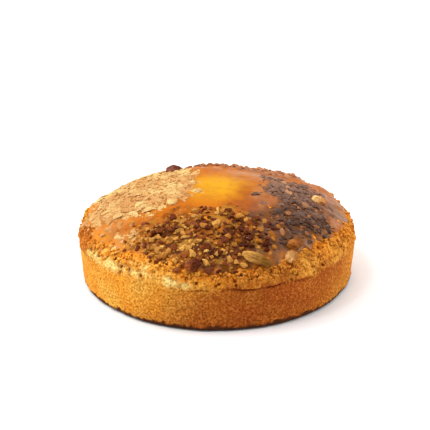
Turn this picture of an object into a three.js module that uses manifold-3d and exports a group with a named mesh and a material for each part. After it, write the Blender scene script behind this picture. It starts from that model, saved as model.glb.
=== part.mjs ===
// A round caramel cake, whole and uncut. The sponge has a straight side from its tin, a cracked rim
// and a high dome. Chopped nuts lie in four fields on the dome, with bare caramel between them, and
// the larger pieces sit in pockets of their own. Millimetres, +Z up, origin at the centre of the base.
// Angles are in degrees about +Z from +X, and -90 is the front.
import * as THREE from "three";
import { mergeVertices } from "three/addons/utils/BufferGeometryUtils.js";
import Module from "manifold-3d";

const wasm = await Module();
wasm.setup();

// The sponge's driving sizes.
const FOOT_RADIUS = 105.5; // the flat that it stands on
const FOOT_HEIGHT = 4.5; // height of the rounded foot
const BASE_RADIUS = 110; // just above the foot
const RIM_RADIUS = 112.6; // at the top of the tin's wall
const LIP_HEIGHT = 36; // where the smooth side ends under the cracked rim
const LIP_OVERHANG = 0.6; // how far the rim stands out over the side
const SHOULDER_HEIGHT = 38; // where the dome starts
const APEX_HEIGHT = 76.3;
const DOME_FULLNESS = 1.2; // 1 is an ellipse, and more is a flatter shoulder

// How finely the sponge is faceted.
const SEGMENTS = 96; // round the cake
const SIDE_ROWS = 4; // between foot and lip
const DOME_ROWS = 13; // between shoulder and apex
const ROW_CROWDING = 1.25; // draws the dome's rows towards the shoulder, where it bends most

// Waves round the side and round the rim: [height, turns round the cake, phase].
const SIDE_WAVES = [
  [0.45, 3, 0.6],
  [0.3, 7, 2.1],
  [0.2, 13, 4.0],
];
const RIM_WAVES = [
  [0.35, 9, 1.3],
  [0.4, 17, 5.2],
  [0.35, 26, 0.4],
];
const WAVE_FADE = 6; // the side's waves die out over this height, and the rim's over this width
const RIM_CRAG = 0.6; // how far the rim's torn crust stands in or out from point to point
// Swells of the dome: [height, wave length, direction in degrees, phase].
const DOME_SWELLS = [
  [0.5, 92, 20, 0.5],
  [0.4, 66, 105, 2.2],
  [0.4, 47, 160, 4.4],
  [0.3, 38, 65, 1.1],
];
// Single humps of the crust, and one dip: [angle, radius, height, half width].
const HUMPS = [
  [24, 97, 3.8, 13],
  [44, 98, 3.0, 12],
  [154, 96, -2.4, 14],
  [-163, 101, 1.0, 14],
  [-47, 95, 2.2, 9],
  [8, 107, 2.4, 12],
  [172, 106, 1.6, 10],
];
// A split in the crust, from one place to another.
const SPLIT = { from: [-94, -54], to: [-62, -50], depth: 1.6, halfWidth: 5 };
const RELIEF_EDGE = 9; // width over which the dome's relief dies out at the rim

// Fields of chopped nuts: their middle angle, the radii that they lie between, how far they raise the
// top, and half the length, width and height of a usual piece. A field's reach is a list of radii, each
// with how many degrees it spreads there, clockwise and anticlockwise of its middle. The front field's
// pieces are all placed one by one, so it has no usual piece.
const FIELDS = [
  {
    name: "pistachio",
    middle: -100,
    reach: [[40, 12, 28], [55, 26, 42], [70, 41, 44], [85, 43, 41], [105, 30, 36]],
    inner: 41,
    outer: 104,
    raised: 0.9,
  },
  {
    name: "walnut",
    middle: -10,
    reach: [[40, 32, 50], [60, 36, 46], [80, 40, 30], [100, 36, 0]],
    inner: 42,
    outer: 98,
    raised: 1.0,
    half: [3.2, 2.4, 1.7],
  },
  {
    name: "almond",
    middle: 170,
    reach: [[18, 20, 20], [30, 40, 45], [45, 56, 53], [60, 58, 49], [75, 56, 42], [90, 54, 37], [105, 50, 30]],
    inner: 16,
    outer: 104,
    raised: 0.5,
    half: [4.2, 3.1, 1.1],
  },
  {
    name: "hazelnut",
    middle: 78,
    reach: [[60, 30, 28], [100, 36, 34]],
    inner: 66,
    outer: 99,
    raised: 0.6,
    half: [3.0, 2.5, 1.9],
  },
];
const FIELD_EDGE = 7; // width of a field's thinning edge
const SPARSEST_COVER = 0.25; // no piece is sown where a field covers less than this
const LATTICE = 7.5; // spread of the sunflower lattice that the pieces are sown on
const GOLDEN_ANGLE = Math.PI * (3 - Math.sqrt(5));
const SOWN_JITTER = 1.2; // how far a piece strays from its place in the lattice
const SOWN_BURIED = 0.35; // share of a chopped piece's height that is below the crust
const SOWN_LEAN = 20; // most that a flat piece leans, in degrees
const SMALLEST = 0.75; // scale of the smallest chopped piece
const LARGEST = 1.25;
const UNEVENNESS = 0.2; // how far a chunk's corners are pushed in or out, as a share

// Chopped pieces that are placed one by one: place, half the length and width, and spin.
const PALE_NUTS = [
  [-49.1, -41.5, 2.6, 2.4, 90], [-54.5, -43.2, 3.3, 2, 90], [-65.5, -45.3, 3, 1.6, 90],
  [-53.3, -63.6, 2.7, 2.5, 0], [-47.2, -74.1, 2.3, 2.3, 90], [-41.2, -68.7, 1.7, 1.3, 90],
  [-37.9, -76.1, 2.3, 1.6, 0], [-34, -80.3, 1.7, 1.3, 0], [-81, -63.4, 2.3, 1.7, 0],
  [-76.6, -72.3, 3.5, 1.9, 0], [-54.5, -83.8, 2.5, 1.9, 90], [-41.5, -84.5, 3, 1.7, 0],
  [-43.3, -88.9, 1.3, 1.2, 0], [-31.4, -97.1, 2.7, 2.3, 90], [-54.1, -72.9, 1.9, 1.5, 90],
  [-28, -40.4, 1.7, 1.4, 90], [-17.7, -42.7, 3.1, 2.4, 0], [-16.8, -51.2, 3.1, 2.5, 0],
  [-28.5, -69.1, 3.4, 2.1, 0], [-24.9, -77.4, 2.7, 1.4, 0], [1, -44.6, 3.7, 1.6, 90],
  [-0.9, -64, 3.1, 2.9, 0], [18.5, -53.8, 4.5, 3.1, 90], [24.6, -56.4, 2.7, 2.2, 0],
  [7.8, -78.2, 2.7, 2.4, 0], [12.7, -85.4, 2.6, 2.3, 90], [-6.6, -83.2, 2.2, 1.5, 90],
  [-17.9, -85.8, 1.9, 1.5, 0], [-25.9, -88.2, 2.5, 2.3, 90], [-18.3, -91.9, 2.4, 2.1, 90],
  [-7.3, -92.1, 2.3, 1.4, 0], [-0.5, -93.9, 2.3, 1.7, 90], [-9.2, -99.4, 2.4, 1.5, 0],
  [34, -67.3, 3.9, 2.3, 90], [31.6, -86.3, 1.7, 1.5, 90], [-30.1, -47.7, 2.4, 1.9, 90],
  [4.7, -90.2, 1.9, 1.6, 0], [51, -66.2, 4.4, 2.3, 90], [65.9, -54.5, 2.7, 2.1, 0],
];
const DARK_NUTS = [
  [-64.7, -52.7, 1.6, 1.6, 90], [-54.8, -55.8, 3.5, 2.2, 0], [-38, -57.7, 3, 1.9, 90],
  [-59.4, -75.1, 1.8, 1.5, 90], [-65.7, -73.7, 1.8, 1.3, 90], [-50, -81.6, 3, 2.3, 90],
  [-33.1, -86, 3, 2.6, 0], [-42.8, -94.1, 3, 1.9, 0], [-51.1, -70.9, 1.9, 1.9, 0],
  [-22.9, -59.9, 4.4, 1.9, 90], [-18.6, -62, 3.8, 2.1, 90], [-4.4, -41.6, 3.1, 2, 90],
  [-10.5, -61.8, 2.5, 2.3, 90], [24.9, -63, 3.8, 2.1, 0], [23.2, -69.3, 3, 1.9, 90],
  [2.1, -85.3, 2.6, 2.1, 0], [-10.8, -80.6, 2.7, 2.3, 0], [-24.6, -94.3, 2.6, 2, 0],
  [-28.5, -102.5, 3.4, 1.8, 0], [6.2, -100.1, 2.6, 1.5, 0], [13, -95.6, 1.9, 1.5, 0],
  [12.2, -100.2, 2.2, 1.3, 0], [-2, -101.6, 1.9, 1.5, 0], [38.5, -87.5, 2.8, 2.2, 0],
  [26, -84.7, 2.3, 2.2, 0], [9.6, -47.2, 2.4, 2.3, 90], [12.6, -56.2, 2.3, 2.2, 0],
  [7.2, -63.8, 2.3, 2.2, 0], [17.8, -73.2, 3, 1.9, 90], [26.9, -76.6, 2.4, 1.9, 90],
  [-13, -47, 2.4, 1.9, 90], [-35.8, -67.4, 2.1, 1.9, 90], [-39.3, -80.3, 2.7, 1.3, 0],
  [-70.3, -74.7, 1.9, 1.7, 0], [-3.6, -74, 2.1, 1.9, 90], [-13.5, -71.5, 2.2, 1.9, 90],
  [-11.1, -88.3, 1.9, 1.6, 0], [65.8, -63.6, 3.9, 2.6, 0], [71.3, -63.1, 2.7, 2, 0],
  [62.1, -67.4, 2.3, 2.1, 0], [74.5, -7.9, 2.4, 2.2, 0], [67.7, -14.9, 3.3, 3.2, 90],
  [71.2, -72.8, 2.7, 1.6, 0], [68.3, -31.4, 2.8, 2, 0], [64.5, -6.2, 2.1, 1.6, 90],
  [51, -76.6, 2.7, 1.7, 0], [56.2, -52.2, 3.8, 1.6, 90], [56, -65.8, 3.6, 1.5, 90],
];
const PLACED_HEIGHT = 0.85; // of a placed piece, as a share of its width
const PLACED_TURN = 50; // spread of the placed pieces' spins about the listed ones
const PLACED_CLEARANCE = 5; // sown pieces keep this far from the middle of a placed one
const PLACED_SEED = 2000; // first number of the placed pieces, clear of the lattice's numbers

// The larger pieces: place, half the length, width and height, and spin about the crust's normal.
const LARGE_PIECES = [
  { name: "walnut_half_front", x: 30, y: -96.5, half: [10.4, 4.4, 3.4], spin: -20 },
  { name: "pistachio_whole_front", x: -18, y: -102, half: [5.6, 4.4, 3.6], spin: 25 },
  { name: "hazelnut_half_right", x: 56, y: -86, half: [4.6, 4.0, 3.6], spin: 60 },
  { name: "hazelnut_lump_right", x: 59.5, y: -76.5, half: [4.8, 4.0, 3.4], spin: 0 },
  { name: "hazelnut_piece_right", x: 82, y: -2, half: [5.4, 4.2, 3.4], spin: 10 },
  { name: "almond_flake_upper", x: -16, y: -10, half: [4.8, 4.0, 1.5], spin: 10 },
  { name: "almond_flake_lower", x: -35, y: -28, half: [4.8, 4.0, 1.6], spin: 60 },
  { name: "walnut_piece_back", x: -36, y: 58, half: [6.2, 4.4, 3.6], spin: 15 },
];
const LARGE_BURIED = 0.3;
const LARGE_CLEARANCE = 5; // chopped pieces keep this far from a larger piece
const POCKET_GAP = 0.5; // how much bigger a pocket is than its piece, all round

const { degToRad, radToDeg, clamp, lerp, smoothstep } = THREE.MathUtils;
const UP = new THREE.Vector3(0, 0, 1);

// A repeatable draw from 0 to 1 for a number and a channel.
function draw(n, channel) {
  const s = Math.sin(n * 12.9898 + channel * 78.233) * 43758.5453;
  return s - Math.floor(s);
}

// Degrees from one angle to another, the short way round, above zero where it is anticlockwise.
function turnFrom(start, end) {
  return ((((end - start) % 360) + 540) % 360) - 180;
}

// A column of a table over its first column, in straight lines between the rows.
function readTable(table, column, at) {
  const next = table.findIndex((row) => row[0] > at);
  if (next === 0) return table[0][column];
  if (next === -1) return table.at(-1)[column];
  const [low, high] = [table[next - 1], table[next]];
  return lerp(low[column], high[column], (at - low[0]) / (high[0] - low[0]));
}

// The smooth dome's height over a radius.
function domeHeight(radius) {
  const share = clamp(1 - (radius / RIM_RADIUS) ** 2, 0, 1);
  return SHOULDER_HEIGHT + (APEX_HEIGHT - SHOULDER_HEIGHT) * share ** (DOME_FULLNESS / 2);
}

// How fully a field covers a place on the dome, from 0 to 1, thinning across its edge.
function cover(field, x, y) {
  const radius = Math.hypot(x, y);
  const turned = turnFrom(field.middle, radToDeg(Math.atan2(y, x)));
  const reach = readTable(field.reach, turned > 0 ? 2 : 1, radius);
  const sideways = degToRad(reach - Math.abs(turned)) * radius;
  const inward = Math.min(field.outer - radius, radius - field.inner);
  return smoothstep(Math.min(sideways, inward), -FIELD_EDGE / 2, FIELD_EDGE / 2);
}

// Distance from a place to the line of the split.
function awayFromSplit(x, y) {
  const [x0, y0] = SPLIT.from;
  const [dx, dy] = [SPLIT.to[0] - x0, SPLIT.to[1] - y0];
  const along = clamp(((x - x0) * dx + (y - y0) * dy) / (dx * dx + dy * dy), 0, 1);
  return Math.hypot(x - x0 - along * dx, y - y0 - along * dy);
}

// Height of the baked relief on the dome: swells, humps, the split and the raised nut fields.
function domeRelief(x, y) {
  let height = 0;
  for (const [rise, length, direction, phase] of DOME_SWELLS) {
    const along = x * Math.cos(degToRad(direction)) + y * Math.sin(degToRad(direction));
    height += rise * Math.sin((2 * Math.PI * along) / length + phase);
  }
  for (const [angle, radius, rise, width] of HUMPS) {
    const awayX = x - radius * Math.cos(degToRad(angle));
    const awayY = y - radius * Math.sin(degToRad(angle));
    height += rise * Math.exp(-(awayX ** 2 + awayY ** 2) / width ** 2);
  }
  height -= SPLIT.depth * Math.exp(-((awayFromSplit(x, y) / SPLIT.halfWidth) ** 2));
  for (const field of FIELDS) height += field.raised * cover(field, x, y);
  return height;
}

// Height of the baked top over a place. Its relief dies out at the rim.
function topHeight(x, y) {
  const radius = Math.hypot(x, y);
  return domeHeight(radius) + smoothstep(RIM_RADIUS - radius, -1, RELIEF_EDGE) * domeRelief(x, y);
}

// The top's outward normal, from its slopes.
function topNormal(x, y) {
  const step = 1.5;
  const slopeX = (topHeight(x + step, y) - topHeight(x - step, y)) / (2 * step);
  const slopeY = (topHeight(x, y + step) - topHeight(x, y - step)) / (2 * step);
  return new THREE.Vector3(-slopeX, -slopeY, 1).normalize();
}

// A sum of waves round the cake.
function ringWave(waves, angle) {
  return waves.reduce((sum, [height, turns, phase]) => sum + height * Math.sin(turns * angle + phase), 0);
}

// The sponge's half section, from the middle of the base round to the apex.
function spongeProfile() {
  const points = [
    [0, 0],
    [FOOT_RADIUS, 0],
    [lerp(FOOT_RADIUS, BASE_RADIUS, 2 / 3), FOOT_HEIGHT / 3],
    [BASE_RADIUS, FOOT_HEIGHT],
  ];
  for (let row = 1; row <= SIDE_ROWS; row++) {
    const share = row / SIDE_ROWS;
    points.push([lerp(BASE_RADIUS, RIM_RADIUS, share), lerp(FOOT_HEIGHT, LIP_HEIGHT, share)]);
  }
  points.push([RIM_RADIUS + LIP_OVERHANG, LIP_HEIGHT + 1]);
  for (let row = 1; row < DOME_ROWS; row++) {
    const climb = (row / DOME_ROWS) ** ROW_CROWDING * (Math.PI / 2);
    const radius = RIM_RADIUS * Math.cos(climb);
    points.push([radius, domeHeight(radius)]);
  }
  points.push([0, APEX_HEIGHT]);
  return points.map(([radius, height]) => new THREE.Vector2(radius, height));
}

// Makes a manifold-3d solid from a closed geometry, with its shared vertices merged.
function solidOf(geometry) {
  const bare = geometry.clone();
  for (const name of ["normal", "uv"]) bare.deleteAttribute(name);
  const merged = mergeVertices(bare);
  const corners = Array.from(merged.index.array);
  const kept = [];
  for (let i = 0; i < corners.length; i += 3) {
    const [a, b, c] = corners.slice(i, i + 3);
    if (a !== b && b !== c && c !== a) kept.push(a, b, c);
  }
  const vertProperties = merged.attributes.position.array;
  return new wasm.Manifold(new wasm.Mesh({ numProp: 3, vertProperties, triVerts: new Uint32Array(kept) }));
}

// Turns a manifold-3d solid back into a geometry.
function geometryOf(solid) {
  const { vertProperties, triVerts } = solid.getMesh();
  const geometry = new THREE.BufferGeometry();
  geometry.setAttribute("position", new THREE.BufferAttribute(new Float32Array(vertProperties), 3));
  geometry.setIndex(new THREE.BufferAttribute(new Uint32Array(triVerts), 1));
  geometry.computeVertexNormals();
  return geometry;
}

// The sponge: its section turned round, then each point moved by the relief of its own part.
function makeSponge() {
  const geometry = new THREE.LatheGeometry(spongeProfile(), SEGMENTS);
  geometry.rotateX(Math.PI / 2);
  const place = geometry.attributes.position;
  for (let i = 0; i < place.count; i++) {
    const [x, y, z] = [place.getX(i), place.getY(i), place.getZ(i)];
    const radius = Math.hypot(x, y);
    const angle = Math.atan2(y, x);
    const segment = (Math.round((angle / (2 * Math.PI)) * SEGMENTS) + SEGMENTS) % SEGMENTS;
    const crag = RIM_CRAG * (2 * draw(segment, Math.round(z)) - 1);
    const onSide = 1 - smoothstep(z, LIP_HEIGHT, LIP_HEIGHT + WAVE_FADE);
    const aboveLip = smoothstep(z, LIP_HEIGHT - 1, LIP_HEIGHT + 1);
    const onRim = aboveLip * smoothstep(radius, RIM_RADIUS - 2 * WAVE_FADE, RIM_RADIUS - WAVE_FADE);
    const outward = onSide * ringWave(SIDE_WAVES, angle) + onRim * (ringWave(RIM_WAVES, angle) + crag);
    const stretch = radius > 1 ? (radius + outward) / radius : 1;
    const lift = z > SHOULDER_HEIGHT ? topHeight(x, y) - domeHeight(radius) : 0;
    place.setXYZ(i, x * stretch, y * stretch, z + lift);
  }
  return solidOf(geometry);
}

// An irregular chunk: an icosahedron whose corners are pushed in or out, stretched to its half sizes.
function chunk(seed, half) {
  const bare = new THREE.IcosahedronGeometry(1, 0);
  for (const name of ["normal", "uv"]) bare.deleteAttribute(name);
  const geometry = mergeVertices(bare);
  const place = geometry.attributes.position;
  for (let i = 0; i < place.count; i++) {
    const push = 1 + UNEVENNESS * (2 * draw(seed, i + 1) - 1);
    place.setX(i, place.getX(i) * push * half[0]);
    place.setY(i, place.getY(i) * push * half[1]);
    place.setZ(i, place.getZ(i) * push * half[2]);
  }
  return geometry;
}

// Lays a piece on the crust, spun and leaning, with the buried share of its height below the crust.
function seat(geometry, { x, y, spin, lean, halfHeight, buried }) {
  const normal = topNormal(x, y);
  const turn = new THREE.Quaternion().setFromUnitVectors(UP, normal);
  turn.multiply(new THREE.Quaternion().setFromAxisAngle(UP, degToRad(spin)));
  turn.multiply(new THREE.Quaternion().setFromAxisAngle(new THREE.Vector3(1, 0, 0), degToRad(lean)));
  const centre = new THREE.Vector3(x, y, topHeight(x, y));
  centre.addScaledVector(normal, halfHeight * (1 - 2 * buried));
  return geometry.applyQuaternion(turn).translate(centre.x, centre.y, centre.z);
}

// Is a place too near a larger piece or a placed one to sow another there?
function isTaken(x, y) {
  const nearLarge = LARGE_PIECES.some(
    (piece) => Math.hypot(x - piece.x, y - piece.y) < piece.half[0] + LARGE_CLEARANCE,
  );
  const placed = [...PALE_NUTS, ...DARK_NUTS];
  return nearLarge || placed.some(([atX, atY]) => Math.hypot(x - atX, y - atY) < PLACED_CLEARANCE);
}

// Every sown piece: a sunflower lattice, thinned to the fields and kept off the other pieces.
function sow() {
  const sown = [];
  const furthest = Math.max(...FIELDS.map((field) => field.outer)) + FIELD_EDGE;
  for (let n = 1; LATTICE * Math.sqrt(n) < furthest; n++) {
    const ring = LATTICE * Math.sqrt(n);
    const radius = ring + SOWN_JITTER * (2 * draw(n, 1) - 1);
    const angle = n * GOLDEN_ANGLE + (SOWN_JITTER * (2 * draw(n, 2) - 1)) / ring;
    const [x, y] = [radius * Math.cos(angle), radius * Math.sin(angle)];
    const needed = lerp(SPARSEST_COVER, 1 - SPARSEST_COVER, draw(n, 3));
    const field = FIELDS.find((each) => cover(each, x, y) > needed);
    if (!field?.half || isTaken(x, y)) continue;
    const size = lerp(SMALLEST, LARGEST, draw(n, 4));
    sown.push({ n, x, y, half: field.half.map((length) => length * size), spin: 360 * draw(n, 9) });
  }
  return sown;
}

// Every placed piece, each turned a little from its listed spin.
function place() {
  return [...PALE_NUTS, ...DARK_NUTS].map(([x, y, length, width, listed], number) => {
    const n = PLACED_SEED + number;
    const spin = listed + PLACED_TURN * (draw(n, 9) - 0.5);
    return { n, x, y, half: [length, width, PLACED_HEIGHT * width], spin };
  });
}

// One chopped piece, laid at its place.
function choppedPiece({ n, x, y, half, spin }) {
  const lean = SOWN_LEAN * (2 * draw(n, 8) - 1) * (half[2] / half[1]);
  return seat(chunk(n, half), { x, y, spin, lean, halfHeight: half[2], buried: SOWN_BURIED });
}

// A larger piece, or its pocket when it is grown by the pocket's gap.
function largePiece({ x, y, half, spin }, number, grown) {
  const laid = { x, y, spin, lean: 0, halfHeight: half[2], buried: LARGE_BURIED };
  const seed = 1000 + number; // clear of the lattice's numbers
  return seat(chunk(seed, half.map((length) => length + grown)), laid);
}

function material(color, roughness) {
  return new THREE.MeshStandardMaterial({ color, roughness, metalness: 0 });
}
const SPONGE = material(0xc8762a, 0.8);
const NUTS = {
  walnut: material(0x7a4a26, 0.45),
  pistachio: material(0x4a2420, 0.4),
  hazelnut: material(0xd9a566, 0.5),
  almond: material(0xe6c48c, 0.55),
};

const model = new THREE.Group();
function addNode(name, geometry, nodeMaterial) {
  const mesh = new THREE.Mesh(geometry, nodeMaterial.clone());
  mesh.name = name;
  model.add(mesh);
}

// The cake is the sponge with every chopped piece fused to it, and a pocket for each larger piece.
let cake = makeSponge();
for (const piece of [...sow(), ...place()]) cake = cake.add(solidOf(choppedPiece(piece)));
LARGE_PIECES.forEach((piece, number) => {
  cake = cake.subtract(solidOf(largePiece(piece, number, POCKET_GAP)));
  addNode(piece.name, largePiece(piece, number, 0), NUTS[piece.name.split("_")[0]]);
});
addNode("cake", geometryOf(cake), SPONGE);

export default model;
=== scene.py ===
# A round caramel cake, whole and uncut, made in the order that a baker makes it: the sponge is baked,
# caramel is poured over its dome, and chopped and larger nuts are pressed into the wet caramel.
# Sizes are in metres, and angles in degrees about +Z from +X, with -90 at the front.
import itertools

import bmesh
import bpy
import numpy as np
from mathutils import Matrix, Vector


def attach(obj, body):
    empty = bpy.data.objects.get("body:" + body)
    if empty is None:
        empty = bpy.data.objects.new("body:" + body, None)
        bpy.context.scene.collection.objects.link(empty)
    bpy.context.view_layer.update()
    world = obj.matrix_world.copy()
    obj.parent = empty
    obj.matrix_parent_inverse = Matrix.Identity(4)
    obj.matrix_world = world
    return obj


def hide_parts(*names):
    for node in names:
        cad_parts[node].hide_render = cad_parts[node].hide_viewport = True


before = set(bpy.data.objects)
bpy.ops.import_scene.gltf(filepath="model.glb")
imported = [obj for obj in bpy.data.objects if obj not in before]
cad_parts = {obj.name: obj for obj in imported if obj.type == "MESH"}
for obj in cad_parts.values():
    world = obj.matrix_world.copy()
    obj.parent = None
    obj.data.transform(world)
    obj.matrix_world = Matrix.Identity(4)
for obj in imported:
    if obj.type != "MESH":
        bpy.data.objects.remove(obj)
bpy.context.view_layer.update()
scene = bpy.context.scene


# ---- The sponge ---------------------------------------------------------------------------------
# Butter sponge, baked in a plain round tin that gave it a straight side of fine closed crumb. It rose
# into a dome and tore its crust away from the tin, so its rim is a band of open, craggy crumb.
FOOT_RADIUS = 0.1055
FOOT_HEIGHT = 0.0045
BASE_RADIUS = 0.110
RIM_RADIUS = 0.1126
LIP_HEIGHT = 0.036
LIP_OVERHANG = 0.0006
SHOULDER_HEIGHT = 0.038
APEX_HEIGHT = 0.0763
DOME_FULLNESS = 1.2
AROUND = 800  # columns of the sponge's grid
FLOOR_ROWS = 4
FOOT_ROWS = 7
SIDE_ROWS = 54
RIM_ROWS = 38
DOME_ROWS = 18
RIM_LENGTH = 0.019  # of the dome's curve, up from the shoulder
# Waves round the side and the rim: height, turns and phase. Swells of the dome: height, length,
# direction and phase. Humps: angle, radius, height and half width.
SIDE_WAVES = ((0.00045, 3, 0.6), (0.0003, 7, 2.1), (0.0002, 13, 4.0))
RIM_WAVES = ((0.00035, 9, 1.3), (0.0004, 17, 5.2), (0.00035, 26, 0.4))
WAVE_FADE = 0.006
DOME_SWELLS = (
    (0.0005, 0.092, 20, 0.5),
    (0.0004, 0.066, 105, 2.2),
    (0.0004, 0.047, 160, 4.4),
    (0.0003, 0.038, 65, 1.1),
)
HUMPS = (
    (24, 0.097, 0.0038, 0.013),
    (44, 0.098, 0.0030, 0.012),
    (154, 0.096, -0.0024, 0.014),
    (-163, 0.101, 0.0010, 0.014),
    (-47, 0.095, 0.0022, 0.009),
    (8, 0.107, 0.0024, 0.012),
    (172, 0.106, 0.0016, 0.010),
)
SPLIT_FROM = (-0.094, -0.054)
SPLIT_TO = (-0.062, -0.050)
SPLIT_DEPTH = 0.0016
SPLIT_WIDTH = 0.005
RELIEF_EDGE = 0.009
# Fields of nuts: middle in degrees, inner and outer radius, how far they raise the top, and half the
# length, width and height of a usual piece. A field's reach is a row of radii, and how many degrees it
# spreads there, clockwise and anticlockwise of its middle.
FIELDS = {
    "pistachio": (-100, 0.041, 0.104, 0.0009, (0.0027, 0.0021, 0.0018)),
    "walnut": (-10, 0.042, 0.098, 0.0010, (0.0032, 0.0024, 0.0017)),
    "almond": (170, 0.016, 0.104, 0.0005, (0.0042, 0.0031, 0.0011)),
    "hazelnut": (78, 0.066, 0.099, 0.0006, (0.0030, 0.0025, 0.0019)),
}
REACH = {
    "pistachio": ((0.040, 0.055, 0.070, 0.085, 0.105), (12, 26, 41, 43, 30), (28, 42, 44, 41, 36)),
    "walnut": ((0.040, 0.060, 0.080, 0.100), (32, 36, 40, 36), (50, 46, 30, 0)),
    "almond": (
        (0.018, 0.030, 0.045, 0.060, 0.075, 0.090, 0.105),
        (20, 40, 56, 58, 56, 54, 50),
        (20, 45, 53, 49, 42, 37, 30),
    ),
    "hazelnut": ((0.060, 0.100), (30, 36), (28, 34)),
}
FIELD_EDGE = 0.007
# Crumb: sizes across, and depths.
PORE_SIZE = 0.0020
PORE_DEPTH = 0.00035
GRAIN_SIZE = 0.0035
GRAIN_DEPTH = 0.0010
PIT_SIZE = 0.0060
PIT_DEPTH = 0.0013
SIDE_LUMPS = 0.0002
RIM_LUMPS = 0.0005
FOOT_BUMPS = 0.0009
# The crease under the lip: where it opens, as angles and half spreads, and how deep it is.
CREASED = ((-76, 27), (90, 50))
CREASE_DEPTH = 0.0009
# The caramel's edge, and where it ran further out or less far: angle, half spread and how far.
CARAMEL_RADIUS = 0.1045
CARAMEL_RUNS = ((-38, 16, -0.004), (180, 25, 0.003), (-88, 20, 0.0035), (10, 22, 0.003))
TEAR_SHAPE = 0.45  # height of a tear as a share of its width
# Where the crust tore off and bared pale crumb: angle, height and half width.
PALE_TEARS = (
    (-151, 0.0405, 0.008),
    (-144, 0.0410, 0.011),
    (-137, 0.0410, 0.010),
    (-129, 0.0430, 0.008),
    (-121, 0.0430, 0.008),
    (-109, 0.0400, 0.007),
    (-103, 0.0380, 0.005),
    (118, 0.0450, 0.009),
    (62, 0.0440, 0.008),
)
# How much the side's crust toasted against the tin, and how much the rim's did, at some angles. The side's
# table is partly painted shade: it is darkest at the front right, where the key light from the left falls
# least.
BROWNED_AND_SHADED = (
    (-180, 0.2), (-158, 0.06), (-124, 0.0), (-112, 0.3), (-103, 0.62), (-94, 0.85), (-84, 0.95), (-70, 1.0),
    (-56, 0.95), (-40, 0.78), (-20, 0.45), (20, 0.4), (60, 0.5), (95, 0.7), (130, 0.4), (180, 0.2),
)
BROWNED_RIM = (
    (-180, 0.4), (-168, 0.8), (-156, 0.6), (-142, 0.05), (-110, 0.0), (-98, 0.25), (-85, 0.5),
    (-50, 0.5), (-20, 0.3), (20, 0.4), (60, 0.4), (100, 0.5), (150, 0.4), (180, 0.3),
)
# The toasting and its painted shade reach further to the left low on the side.
BROWNED_SHADE_LEAN = 22  # degrees by which the browning reaches further to the left at the foot


def smooth_step(value, low, high):
    """0 below low and 1 above high, with a smooth S between."""
    share = np.clip((value - low) / (high - low), 0, 1)
    return share * share * (3 - 2 * share)


def hashed(cells, channel):
    """Repeatable numbers from 0 to 1 for rows of three whole numbers: the fraction of a large sine."""
    mixed = cells @ np.array([12.9898, 78.233, 37.719]) + 11.137 * channel
    large = np.sin(mixed) * 43758.5453
    return large - np.floor(large)


def soft_noise(points, size, channel):
    """Blobs of one size, from -1 to 1: hashed values at the corners of cubes, blended smoothly."""
    corner = np.floor(points / size)
    inside = points / size - corner
    blend = inside * inside * (3 - 2 * inside)
    total = 0
    for step in itertools.product((0, 1), repeat=3):
        weight = np.prod(np.where(step, blend, 1 - blend), axis=-1)
        total = total + weight * hashed(corner + step, channel)
    return 2 * total - 1


def nearest_seed(points, size, channel):
    """Distance to the nearest of seeds strewn one to a cube of this size, as a share of the size."""
    corner = np.floor(points / size)
    nearest = np.full(points.shape[:-1], 9.0)
    for step in itertools.product((-1, 0, 1), repeat=3):
        cell = corner + step
        seed = cell + np.stack([hashed(cell, channel + axis) for axis in range(3)], -1)
        nearest = np.minimum(nearest, np.linalg.norm(seed - points / size, axis=-1))
    return nearest


def turn_between(a, b):
    """Degrees from one angle to another, the short way round."""
    return np.abs((a - b + 540) % 360 - 180)


def bell(away, width, power=2):
    """1 in the middle and almost 0 two widths away: e to the minus (away over width) to a power."""
    return np.exp(-((away / width) ** power))


def on_circle(radius, angle):
    """The place at a radius and an angle in radians."""
    return radius * np.cos(angle), radius * np.sin(angle)


def flat_points(x, y):
    """Points at height 0 under places of the cake."""
    return np.stack([x, y, 0 * x], -1)


def dome_height(radius):
    """Height of the smooth dome: a flattened ellipse from the shoulder up to the apex."""
    share = np.clip(1 - (radius / RIM_RADIUS) ** 2, 0, 1)
    return SHOULDER_HEIGHT + (APEX_HEIGHT - SHOULDER_HEIGHT) * share ** (DOME_FULLNESS / 2)


def cover(field, x, y):
    """How fully a field of nuts covers a place, from 0 to 1, thinning across its edge."""
    middle, inner, outer = FIELDS[field][:3]
    radii, clockwise, anticlockwise = REACH[field]
    radius = np.hypot(x, y)
    turned = (np.degrees(np.arctan2(y, x)) - middle + 540) % 360 - 180
    forward = np.interp(radius, radii, anticlockwise)
    reach = np.where(turned > 0, forward, np.interp(radius, radii, clockwise))
    sideways = np.radians(reach - np.abs(turned)) * radius
    inward = np.minimum(outer - radius, radius - inner)
    return smooth_step(np.minimum(sideways, inward), -FIELD_EDGE / 2, FIELD_EDGE / 2)


def in_split(x, y):
    """1 on the line of the split, falling away to its sides."""
    dx, dy = np.subtract(SPLIT_TO, SPLIT_FROM)
    x, y = x - SPLIT_FROM[0], y - SPLIT_FROM[1]
    along = np.clip((x * dx + y * dy) / (dx * dx + dy * dy), 0, 1)
    return bell(np.hypot(x - along * dx, y - along * dy), SPLIT_WIDTH)


def dome_relief(x, y):
    """Height of the dome's relief: swells, humps, the split and the raised fields, added up."""
    height = 0
    for rise, length, direction, phase in DOME_SWELLS:
        along = x * np.cos(np.radians(direction)) + y * np.sin(np.radians(direction))
        height = height + rise * np.sin(2 * np.pi * along / length + phase)
    for angle, radius, rise, width in HUMPS:
        hump_x, hump_y = on_circle(radius, np.radians(angle))
        height = height + rise * bell(np.hypot(x - hump_x, y - hump_y), width)
    height = height - SPLIT_DEPTH * in_split(x, y)
    for field, facts in FIELDS.items():
        height = height + facts[3] * cover(field, x, y)
    return height


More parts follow.
